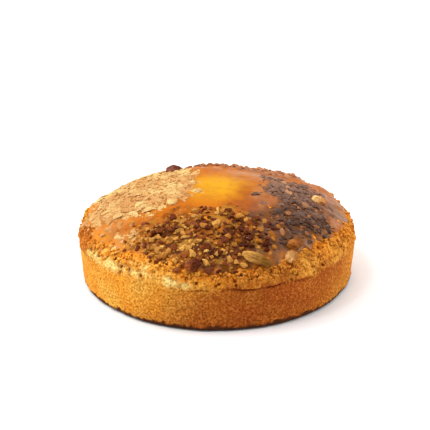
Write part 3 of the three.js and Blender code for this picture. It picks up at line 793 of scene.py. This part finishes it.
climb_map = climb_over_nuts()
angle = np.linspace(0, 2 * np.pi, POOL_AROUND, endpoint=False)
edge = caramel_edge(np.degrees(angle))
share = np.linspace(0, 1, POOL_ROWS + 1)[1:]
out = (1 - (1 - share) ** 1.25)[:, None] * edge  # rows close up towards the edge
pool_x, pool_y = on_circle(out, angle)
bead = np.sqrt(np.clip(1 - (1 - np.clip((edge - out) / POOL_BEAD, 0, 1)) ** 2, 0, 1))
flat = flat_points(pool_x, pool_y)
on_dome = np.stack([pool_x, pool_y, dome_height(out)], -1)
laps_rim = sum(bell(turn_between(np.degrees(angle), middle), LAP_SPREAD) for middle in RIM_LAPS)
near_edge = smooth_step(out - edge, -0.012, -0.002) * (1 - 0.75 * np.clip(laps_rim, 0, 1))
bare = np.clip(1 - sum(cover(field, pool_x, pool_y) for field in FIELDS), 0, 1)
streak = streaks_down(pool_x, pool_y)
ripple = 0.00025 * soft_noise(flat, 0.009, 11) + 0.00015 * soft_noise(flat, 0.0045, 12) + 0.00016 * streak
lumpy = 0.6 * soft_noise(flat, 0.0042, 13) + 0.5 * soft_noise(flat, 0.0024, 14)
rough = sum(much * cover(field, pool_x, pool_y) for field, much in ROUGHNESS.items())
rough = (rough + 0.0005 * bare * smooth_step(out, 0.060, 0.085)) * lumpy
grains, pits = rim_crags(on_dome)
torn = near_edge * (0.8 * GRAIN_DEPTH * grains - 0.7 * PIT_DEPTH * pits)
climb = read_map(climb_map, pool_x, pool_y)
thick = POOL_THIN + (POOL_THICK - POOL_THIN) * bare * (1 - near_edge) + ripple + climb
lift = bead * np.maximum(thick + rough, POOL_LAP) + torn - POOL_LAP
pool_top = np.stack([pool_x, pool_y, top_height(pool_x, pool_y) + lift], -1)
under = np.linspace(0, 1, UNDER_ROWS + 2)[1:-1, None] * edge
under_x, under_y = on_circle(under, angle)
pool_under = np.stack([under_x, under_y, top_height(under_x, under_y) - POOL_SUNK], -1)
crown = top_height(0.0, 0.0)
rows = np.concatenate([pool_under, pool_top[::-1]])
poles = (0, 0, crown - POOL_SUNK), (0, 0, crown + POOL_THICK - POOL_LAP)
caramel_mesh = closed_grid("caramel_glaze", rows, *poles)


def on_top(rows):
    """The same rows of numbers for the hidden underside, which takes its edge's, and for the top."""
    return np.concatenate([np.repeat(rows[-1:], len(pool_under), axis=0), rows[::-1]])


ragged_place = strayed(pool_x, pool_y, POOL_STRAY)
for field in FIELDS:
    strewn = np.maximum(cover(field, *ragged_place), patchwork(*ragged_place, [SPILLS[field]]))
    for clear in KEPT_CLEAR.get(field, ()):
        strewn = strewn * (1 - near(*ragged_place, *clear))
    give_values(caramel_mesh, field, on_top(strewn))
blotch = soft_noise(flat, 0.008, 45)
split = in_split(pool_x, pool_y)
glints = cover("pistachio", *ragged_place)
patched = {name: patchwork(*ragged_place, patches) for name, patches in PATCHES.items()}
patched["deep"] = patched["deep"] + 0.5 * split
# The pale streaks at the back right are a painted sheen.
patched["milky"] = patched["milky"] * (0.8 + 0.3 * blotch)
patched["warm"] = patched["warm"] + 0.6 * blotch
gloss = 0.25 + 0.2 * patched["strip"] + 0.1 * patched["grey"] + 0.1 * patched["milky"]
caramel_values = {
    **patched,
    "streak": 0.5 + 0.5 * streak,
    "run_down": smooth_step(out, 0.006, 0.044),
    "olive": 0.5 + 0.9 * soft_noise(flat, 0.0055, 48),
    "glints": glints,
    "gloss": gloss - 0.2 * glints - 0.2 * cover("almond", *ragged_place) - 0.5 * split,
    "torn": near_edge * (0.6 + 0.4 * blotch),
    # Painted shade in the pits near the torn edge and in the low places between nuts.
    "sunk": near_edge * pits + 0.9 * np.clip(-lumpy, 0, 1) * (1 - bare),
    "raised": (climb - 0.0002) / 0.0006 + 0.6 * lumpy,
}
for name, values in caramel_values.items():
    give_values(caramel_mesh, name, on_top(np.clip(values, 0, 1)))

APEX_CARAMEL = (0.66, 0.305, 0.011, 1)
BARE_CARAMEL = (0.50, 0.130, 0.006, 1)
DEEP_CARAMEL = (0.32, 0.068, 0.006, 1)
PEACH_CARAMEL = (0.64, 0.235, 0.042, 1)
# Under each field of nuts: the caramel where it climbs a nut, and in the gaps between them, darker for
# deeper caramel and for painted shade.
TINTS = {
    "pistachio": ((0.33, 0.110, 0.014, 1), (0.075, 0.017, 0.002, 1)),
    "walnut": ((0.20, 0.100, 0.060, 1), (0.085, 0.034, 0.018, 1)),
    "almond": ((0.68, 0.38, 0.15, 1), (0.40, 0.15, 0.030, 1)),
    "hazelnut": ((0.36, 0.13, 0.05, 1), (0.16, 0.05, 0.018, 1)),
}
WARM_TINT = (0.46, 0.135, 0.010, 1)
OLIVE_TINT = (0.38, 0.175, 0.020, 1)
HOLLOW_SHADE_TINT = (0.42, 0.30, 0.16, 1)


def ragged_ramp(tree, name, ragged, *limits):
    """A stored number made ragged by fine noise, and taken through a ramp."""
    return ramp(tree, calculate(tree, "ADD", read_value(tree, name), ragged), *limits)


caramel_finish, tree, shader = start_material("caramel_skin")
place = add_node(tree, "ShaderNodeTexCoord").outputs["Object"]
cloudy = {"Vector": place, "Scale": 80.0, "Detail": 5.0, "Distortion": 0.5}
cloud = add_node(tree, "ShaderNodeTexNoise", cloudy).outputs["Fac"]
grainy = {"Vector": place, "Scale": 380.0, "Detail": 3.0}
fine = add_node(tree, "ShaderNodeTexNoise", grainy).outputs["Fac"]
ragged = calculate(tree, "SUBTRACT", fine, 0.5)
streak = read_value(tree, "streak")
pooled = calculate(tree, "ADD", calculate(tree, "MULTIPLY", streak, 0.5), cloud)
colour = mix_colours(tree, read_value(tree, "run_down"), APEX_CARAMEL, BARE_CARAMEL)
colour = mix_colours(tree, ramp(tree, pooled, 0.72, 1.0, 0.0, 0.5), colour, DEEP_CARAMEL)
colour = tint(tree, colour, "peach", PEACH_CARAMEL)
# Deeper caramel in the split, and painted shade in patches right of the apex, where the key light falls
# less.
colour = tint(tree, colour, "deep", DEEP_CARAMEL)
for field, (on_nuts, deep_and_shaded_gaps) in TINTS.items():
    # Lower between the nuts, the caramel darkens: deeper caramel and painted shade.
    ground = mix_colours(tree, ragged_ramp(tree, "raised", ragged, 0.1, 0.9), deep_and_shaded_gaps, on_nuts)
    if field == "pistachio":
        for name, low, spots in (("warm", 0.2, WARM_TINT), ("olive", 0.6, OLIVE_TINT)):
            spotted = ragged_ramp(tree, name, ragged, low, 1.0, 0.0, 0.8)
            ground = mix_colours(tree, spotted, ground, spots)
    colour = mix_colours(tree, ragged_ramp(tree, field, ragged, 0.2, 0.8, 0.0, 0.95), colour, ground)
# The patches, each laid over those before it. The dark one right of the strip is painted shade, and the
# pale streaked ones paint the sheen at the back right.
layers = (
    ("strip", (0.16, 0.065, 0.035, 1), 0.9),
    ("brown", (0.12, 0.042, 0.009, 1), 1.0),
    ("grey", (0.19, 0.100, 0.056, 1), 1.0),
    ("milky", (0.34, 0.125, 0.050, 1), 0.75),
    ("milky", (0.38, 0.18, 0.10, 1), ragged_ramp(tree, "streak", ragged, 0.45, 0.95)),
    ("filmy", (0.50, 0.26, 0.13, 1), ragged_ramp(tree, "streak", ragged, 0.25, 0.75, 0.45, 1.0)),
    ("torn", (0.70, 0.25, 0.022, 1), 1.0),
)
for name, towards, share in layers:
    colour = tint(tree, colour, name, towards, share)
# Painted shade in the pits and low places.
colour = mix_colours(tree, read_value(tree, "sunk"), colour, HOLLOW_SHADE_TINT, "MULTIPLY")
patchy_gloss = calculate(tree, "MULTIPLY", read_value(tree, "gloss"), ramp(tree, pooled, 0.55, 0.95))
glint = calculate(tree, "MULTIPLY", read_value(tree, "glints"), ramp(tree, fine, 0.60, 0.70))
tree.links.new(calculate(tree, "MAXIMUM", patchy_gloss, glint), shader.inputs["Coat Weight"])
shader.inputs["Coat Roughness"].default_value = 0.15
height = calculate(tree, "ADD", calculate(tree, "MULTIPLY", fine, 0.6), streak)
dress(tree, shader, colour, height, roughness=0.5, specular=0.04, strength=0.6, depth=0.001)
add_piece("caramel_glaze", caramel_mesh, caramel_finish, "caramel")


# ---- The chopped nuts ---------------------------------------------------------------------------
# Toasted nuts chopped with a knife and strewn in four fields on the wet caramel: pistachio at the
# front, dark walnut at the right, flaked almond at the left and hazelnut behind. Each is a third sunk.
CHOPPED_STEPS = 2  # how finely the ball of a chopped piece is cut: 80 faces
# Share of a piece's height below the crust, the caramel coming on top.
SHOWN_BURIED = {"pistachio": 0.30, "walnut": 0.38, "almond": 0.34, "hazelnut": 0.38}
FINER_RAISED = 0.08  # less for the finer nuts, which lie higher on the caramel
# Colours: a piece takes a tone between pale and dark, and then come its flecks and its coat of caramel.
NUT_COLOURS = {
    "pistachio_kernel": ((0.86, 0.48, 0.11, 1), (0.38, 0.120, 0.012, 1), (0.38, 0.13, 0.010, 1), 0.55),
    "pistachio_skin": ((0.33, 0.080, 0.012, 1), (0.07, 0.012, 0.003, 1), (0.13, 0.022, 0.005, 1), 0.55),
    "dark_walnut": ((0.28, 0.150, 0.100, 1), (0.060, 0.030, 0.020, 1), (0.11, 0.050, 0.032, 1), 0.8),
    "pale_walnut": ((0.50, 0.25, 0.12, 1), (0.30, 0.11, 0.038, 1), (0.24, 0.08, 0.030, 1), 0.4),
    "flaked_almond": ((0.82, 0.64, 0.26, 1), (0.57, 0.28, 0.095, 1), (0.40, 0.17, 0.038, 1), 0.1),
    "toasted_hazelnut": ((0.62, 0.28, 0.13, 1), (0.22, 0.075, 0.032, 1), (0.30, 0.11, 0.045, 1), 0.5),
}
# Patches of another tone: how much darker, angle, radius and half sizes. The pieces are paler at the back
# right and near the top, and darker beside the strip, at the front right and low on the left. Beside the
# strip and at the front right the darkening is partly painted shade, where the key light falls less.
NUT_TONES_AND_SHADE = (
    (-0.7, 30, 0.062, 30, 0.028),
    (-0.6, -16, 0.046, 30, 0.010),
    (0.6, -44, 0.080, 12, 0.028),
    (0.35, -76, 0.080, 14, 0.022),
    (0.3, -164, 0.090, 25, 0.020),
)
NO_SKINS = (-48, 0.100, 4, 0.005)  # a patch without dark pieces


def ball(steps):
    """Points and triangles of a ball cut from an icosahedron."""
    shape = bmesh.new()
    bmesh.ops.create_icosphere(shape, subdivisions=steps, radius=1.0)
    mesh = bpy.data.meshes.new("ball")
    shape.to_mesh(mesh)
    shape.free()
    points = np.empty(3 * len(mesh.vertices), dtype=np.float32)
    mesh.vertices.foreach_get("co", points)
    corners = np.empty(len(mesh.loops), dtype=np.int32)
    mesh.loops.foreach_get("vertex_index", corners)
    bpy.data.meshes.remove(mesh)
    return points.reshape(-1, 3).astype(float), corners.reshape(-1, 3)


def pressed_flat(shape, number, cuts, least):
    """Pieces pressed back against planes at hashed tilts, the least depth or up to 0.4 more from the
    middle."""
    for cut in range(cuts):
        tilt = 2 * draw(number[:, None], 140 + 5 * cut + np.arange(3)[None, :]) - 1
        tilt = tilt / np.linalg.norm(tilt, axis=-1, keepdims=True)
        depth = least + 0.4 * draw(number, 143 + 5 * cut)
        past = np.clip(np.einsum("gpk,gk->gp", shape, tilt) - depth[:, None], 0, None)
        shape = shape - past[..., None] * tilt[:, None, :]
    return shape


def chopped(number, half, cuts, bulge):
    """Uneven chopped pieces, one row of points each: a ball bulged by two slow waves, pressed flat
    against planes, and stretched to the half sizes."""
    points = ball(CHOPPED_STEPS)[0]
    across, along, up = points.T
    phase_1, phase_2, phase_3 = (2 * np.pi * draw(number, channel)[:, None] for channel in (131, 132, 133))
    wave = np.sin(2.3 * across + phase_1) * np.sin(2.9 * along + phase_2)
    wave = wave + 0.6 * np.sin(4.1 * up + phase_3 + 2 * across)
    shape = points[None] * (1.25 + bulge * wave)[..., None]
    return pressed_flat(shape, number, cuts, 0.45) * half[:, None, :]


def top_normal(x, y):
    """The dome's outward normal, from its slopes over a small step."""
    step = 0.0015
    slope_x = (top_height(x + step, y) - top_height(x - step, y)) / (2 * step)
    slope_y = (top_height(x, y + step) - top_height(x, y - step)) / (2 * step)
    normal = np.stack([-slope_x, -slope_y, np.ones_like(slope_x)], -1)
    return normal / np.linalg.norm(normal, axis=-1, keepdims=True)


def seat(shape, x, y, spin, lean, half_height, buried):
    """Lays pieces on the crust: leaned about X, spun about Z, turned so that Z is the dome's normal, and
    sunk by the buried share of their height."""
    normal = top_normal(x, y)
    spin, lean = np.radians(spin)[:, None], np.radians(lean)[:, None]
    across = shape[..., 0]
    along = shape[..., 1] * np.cos(lean) - shape[..., 2] * np.sin(lean)
    up = shape[..., 1] * np.sin(lean) + shape[..., 2] * np.cos(lean)
    spun_x = across * np.cos(spin) - along * np.sin(spin)
    spun_y = across * np.sin(spin) + along * np.cos(spin)
    nx, ny, nz = normal.T
    first = np.stack([1 - nx * nx / (1 + nz), -nx * ny / (1 + nz), -nx], -1)
    second = np.stack([-nx * ny / (1 + nz), 1 - ny * ny / (1 + nz), -ny], -1)
    centre = np.stack([x, y, top_height(x, y)], -1) + normal * (half_height * (1 - 2 * buried))[:, None]
    turned = spun_x[..., None] * first[:, None] + spun_y[..., None] * second[:, None]
    return centre[:, None] + turned + up[..., None] * normal[:, None]


def joined(name, shapes, tones, rounded):
    """One mesh of many pieces with the ball's faces, and a tone for each piece."""
    corners = ball(CHOPPED_STEPS)[1]
    count, points = shapes.shape[:2]
    faces = (corners[None] + points * np.arange(count)[:, None, None]).reshape(-1, 3)
    mesh = new_mesh(name, shapes.reshape(-1, 3), faces.tolist(), rounded)
    give_values(mesh, "tone", np.repeat(tones, points))
    return mesh


def nut_material(name, pale, dark, fleck, coat):
    """Toasted nut under caramel: each piece takes a tone between two colours, with flecks of a third.
    The coat is the caramel on it, which glints only here and there."""
    material, tree, shader = start_material(name)
    grain = add_grain(tree, 800.0)
    colour = mix_colours(tree, read_value(tree, "tone"), pale, dark)
    colour = mix_colours(tree, ramp(tree, grain["Fine"], 0.48, 0.68), colour, fleck)
    tree.links.new(ramp(tree, grain["Fine"], 0.57, 0.64, 0.0, coat), shader.inputs["Coat Weight"])
    shader.inputs["Coat Roughness"].default_value = 0.12
    dress(tree, shader, colour, grain["Fine"], roughness=0.5, specular=0.05, strength=0.5, depth=0.0005)
    return material


finishes = {name: nut_material(name, *colours) for name, colours in NUT_COLOURS.items()}
finer = number > FINER_FROM
tone = 0.5 * draw(number, 161) + 0.25 + 0.6 * soft_noise(flat_points(sown_x, sown_y), 0.012, 46)
tone = np.clip(tone, 0, 1)
tone = np.where(finer, 0.35 + 0.65 * tone, 0.75 * tone)  # the finer ones took up caramel
tone = np.clip(tone + patchwork(sown_x, sown_y, NUT_TONES_AND_SHADE), 0, 1)
is_dark = sown_dark.astype(bool) & (near(sown_x, sown_y, *NO_SKINS) < 0.4)
# Each kind: which pieces, its finish, how uneven it is and how many cuts it has.
kinds = {
    "pistachio_kernels": ((sown_field == "pistachio") & ~is_dark, "pistachio_kernel", 0.16, 8),
    "pistachio_skins": ((sown_field == "pistachio") & is_dark, "pistachio_skin", 0.26, 7),
    "walnut_bits": ((sown_field == "walnut") & is_dark, "dark_walnut", 0.26, 7),
    "walnut_pale_bits": ((sown_field == "walnut") & ~is_dark, "pale_walnut", 0.2, 7),
    "almond_flakes": (sown_field == "almond", "flaked_almond", 0.18, 7),
    "hazelnut_bits": (sown_field == "hazelnut", "toasted_hazelnut", 0.22, 7),
}
for name, (chosen, finish, bulge, cuts) in kinds.items():
    slot = name.split("_")[0]
    half = sown_half[chosen]
    shape = chopped(number[chosen], half, cuts, bulge)
    place = sown_x[chosen], sown_y[chosen]
    buried = SHOWN_BURIED[slot] - FINER_RAISED * finer[chosen]
    laid = seat(shape, *place, sown_spin[chosen], sown_lean[chosen], half[:, 2], buried)
    add_piece(name, joined(name, laid, tone[chosen], False), finishes[finish], slot)


# ---- The larger nuts ----------------------------------------------------------------------------
# Whole and halved nuts that the knife missed, each pressed into the caramel by hand. They keep their
# furrows and skins, and lie a third sunk.
LARGE_BURIED = 0.3
FURROWS = {"walnut": 0.10, "pistachio": 0.16, "hazelnut": 0.18, "almond": 0.08}
LARGE_SEED = 3000
LARGE_STEPS = 5
LARGE_CUTS = 7
LEAST_CUT = 0.7  # from the middle, as a share of the ball
LARGE_COLOURS = {
    "front_walnut": ((0.62, 0.30, 0.065, 1), (0.18, 0.075, 0.008, 1), (0.24, 0.09, 0.010, 1), 0.6),
    "rim_hazelnut": ((0.76, 0.42, 0.14, 1), (0.36, 0.13, 0.030, 1), (0.40, 0.15, 0.032, 1), 0.5),
    "caramel_hazelnut": ((0.50, 0.17, 0.026, 1), (0.22, 0.062, 0.010, 1), (0.28, 0.08, 0.011, 1), 0.5),
    "chopped_hazelnut": ((0.84, 0.52, 0.20, 1), (0.50, 0.19, 0.045, 1), (0.52, 0.20, 0.045, 1), 0.5),
    "back_walnut": ((0.26, 0.080, 0.040, 1), (0.12, 0.030, 0.016, 1), (0.10, 0.022, 0.012, 1), 0.5),
}
LARGE_FINISHES = {
    "walnut_half_front": "front_walnut",
    "pistachio_whole_front": "pistachio_skin",
    "hazelnut_half_right": "rim_hazelnut",
    "hazelnut_lump_right": "caramel_hazelnut",
    "hazelnut_piece_right": "chopped_hazelnut",
    "almond_flake_upper": "flaked_almond",
    "almond_flake_lower": "flaked_almond",
    "walnut_piece_back": "back_walnut",
}


def large_nut(name, order):
    """A whole nut: a fine ball bulged by slow noise, pressed flat in places, furrowed by ridges, which are
    one minus the size of a finer noise, and stretched to its half sizes."""
    x, y, half, spin = LARGE_PIECES[name]
    points, corners = ball(LARGE_STEPS)
    slow = soft_noise(points + 7 * order, 0.9, 21)
    ridges = 1 - np.abs(soft_noise(points + 7 * order, 0.45, 22)) * 2
    shape = (points * (1.08 + 0.12 * slow)[:, None])[None]
    shape = pressed_flat(shape, np.array([LARGE_SEED + order]), LARGE_CUTS, LEAST_CUT)
    shape = shape * (1 + FURROWS[name.split("_")[0]] * ridges)[:, None] * half
    place = np.array([x]), np.array([y])
    laid = seat(shape, *place, np.array([spin]), np.zeros(1), np.array([half[2]]), LARGE_BURIED)[0]
    mesh = new_mesh(name + "_nut", laid, corners.tolist())
    give_values(mesh, "tone", np.clip(0.75 + 0.4 * slow - 0.3 * ridges + 0.7 * points[:, 0], 0, 1))
    return mesh


for name, colours in LARGE_COLOURS.items():
    finishes[name] = nut_material(name, *colours)
for order, (name, finish) in enumerate(LARGE_FINISHES.items()):
    add_piece(name + "_nut", large_nut(name, order), finishes[finish], name.split("_")[0], name)


# ---- The torn crumbs ----------------------------------------------------------------------------
# Crumbs of sponge that broke off when the crust tore. They lie on the open crumb of the rim, between
# the caramel and the side, and a few cling to the caramel's edge.
CRUMB_COUNT = 1100
CRUMB_SEED = 500000
CRUMB_HALF = 0.0010
ON_CARAMEL = 0.001  # how far in over the caramel's edge they lie
INSIDE_RIM = 0.0012
CRUMB_CUTS = 2

number = np.arange(1, CRUMB_COUNT + 1) + CRUMB_SEED
turn = 360 * draw(number, 171)
innermost = caramel_edge(turn) - ON_CARAMEL
away = innermost + (RIM_RADIUS - INSIDE_RIM - innermost) * draw(number, 172)
crumb_x, crumb_y = on_circle(away, np.radians(turn))
size = CRUMB_HALF * (0.45 + draw(number, 173) ** 2)
crumb_half = size[:, None] * (0.7 + 0.6 * draw(number[:, None], np.arange(174, 177)[None, :]))
shape = chopped(number, crumb_half, CRUMB_CUTS, 0.25)
spin, lean = 360 * draw(number, 177), 60 * draw(number, 178) - 30
laid = seat(shape, crumb_x, crumb_y, spin, lean, crumb_half[:, 2], 0.3)
crumb_mesh = joined("rim_crumbs", laid, draw(number, 179), True)
give_values(crumb_mesh, "browned", np.repeat(read_round(BROWNED_RIM, turn), shape.shape[1]))
add_piece("rim_crumbs", crumb_mesh, sponge_finish, "sponge")


# ---- The floor, light and camera ----------------------------------------------------------------
# A plain pale floor under a soft overhead light, with a large soft key from the left, a smaller fill
# from the right, a low light behind for the sheen on the caramel, and a long lens.
FLOOR_HALF = 6.0
FLOOR_DOWN = 0.0001  # below the cake's underside
corners = FLOOR_HALF * np.array([(-1, -1, 0), (1, -1, 0), (1, 1, 0), (-1, 1, 0)]) - (0, 0, FLOOR_DOWN)
floor_mesh = new_mesh("floor", corners, [(0, 1, 2, 3)], False)
floor =bpy.data.objects.new("floor", floor_mesh)
scene.collection.objects.link(floor)
floor_finish, tree, shader = start_material("pale_floor")
shader.inputs["Base Color"].default_value = (0.94, 0.94, 0.94, 1)
shader.inputs["Roughness"].default_value = 0.9
floor_mesh.materials.append(floor_finish)

world = bpy.data.worlds.new("studio")
scene.world = world
world.use_nodes = True
world.node_tree.nodes["Background"].inputs["Color"].default_value = (1.0, 0.99, 0.97, 1)
world.node_tree.nodes["Background"].inputs["Strength"].default_value = 0.28


def add_softbox(name, place, across, power):
    """A square area light at a place, turned to face the cake."""
    light = bpy.data.lights.new(name, "AREA")
    light.shape = "SQUARE"
    light.size = across
    light.energy = power
    lamp = bpy.data.objects.new(name, light)
    lamp.location = place
    lamp.rotation_euler = Vector(np.subtract(CAKE_MIDDLE, place)).to_track_quat("-Z", "Y").to_euler()
    scene.collection.objects.link(lamp)


CAKE_MIDDLE = (0, 0, 0.04)
add_softbox("overhead", (0.0, 0.1, 1.7), 2.0, 20)
add_softbox("key", (-1.25, 0.15, 1.05), 1.3, 25)
add_softbox("glint", (-0.45, -0.40, 1.35), 0.20, 2.6)
add_softbox("fill", (1.45, 0.1, 0.75), 1.0, 15)
add_softbox("sheen", (1.1, 1.9, 0.35), 1.2, 6)
scene.view_settings.view_transform = "Standard"

camera_data = bpy.data.cameras.new("camera")
camera_data.sensor_width = 36.0
camera_data.lens = 117.96
camera = bpy.data.objects.new("camera", camera_data)
CAMERA_AIM = (-0.0013, 0.0, 0.051)
CAMERA_DISTANCE = 1.150
CAMERA_ELEVATION = np.radians(22)
back, up = on_circle(CAMERA_DISTANCE, CAMERA_ELEVATION)
camera.location = np.add(CAMERA_AIM, (0, -back, up))
camera.rotation_euler = (np.pi / 2 - CAMERA_ELEVATION, 0, 0)
scene.collection.objects.link(camera)
scene.camera = camera
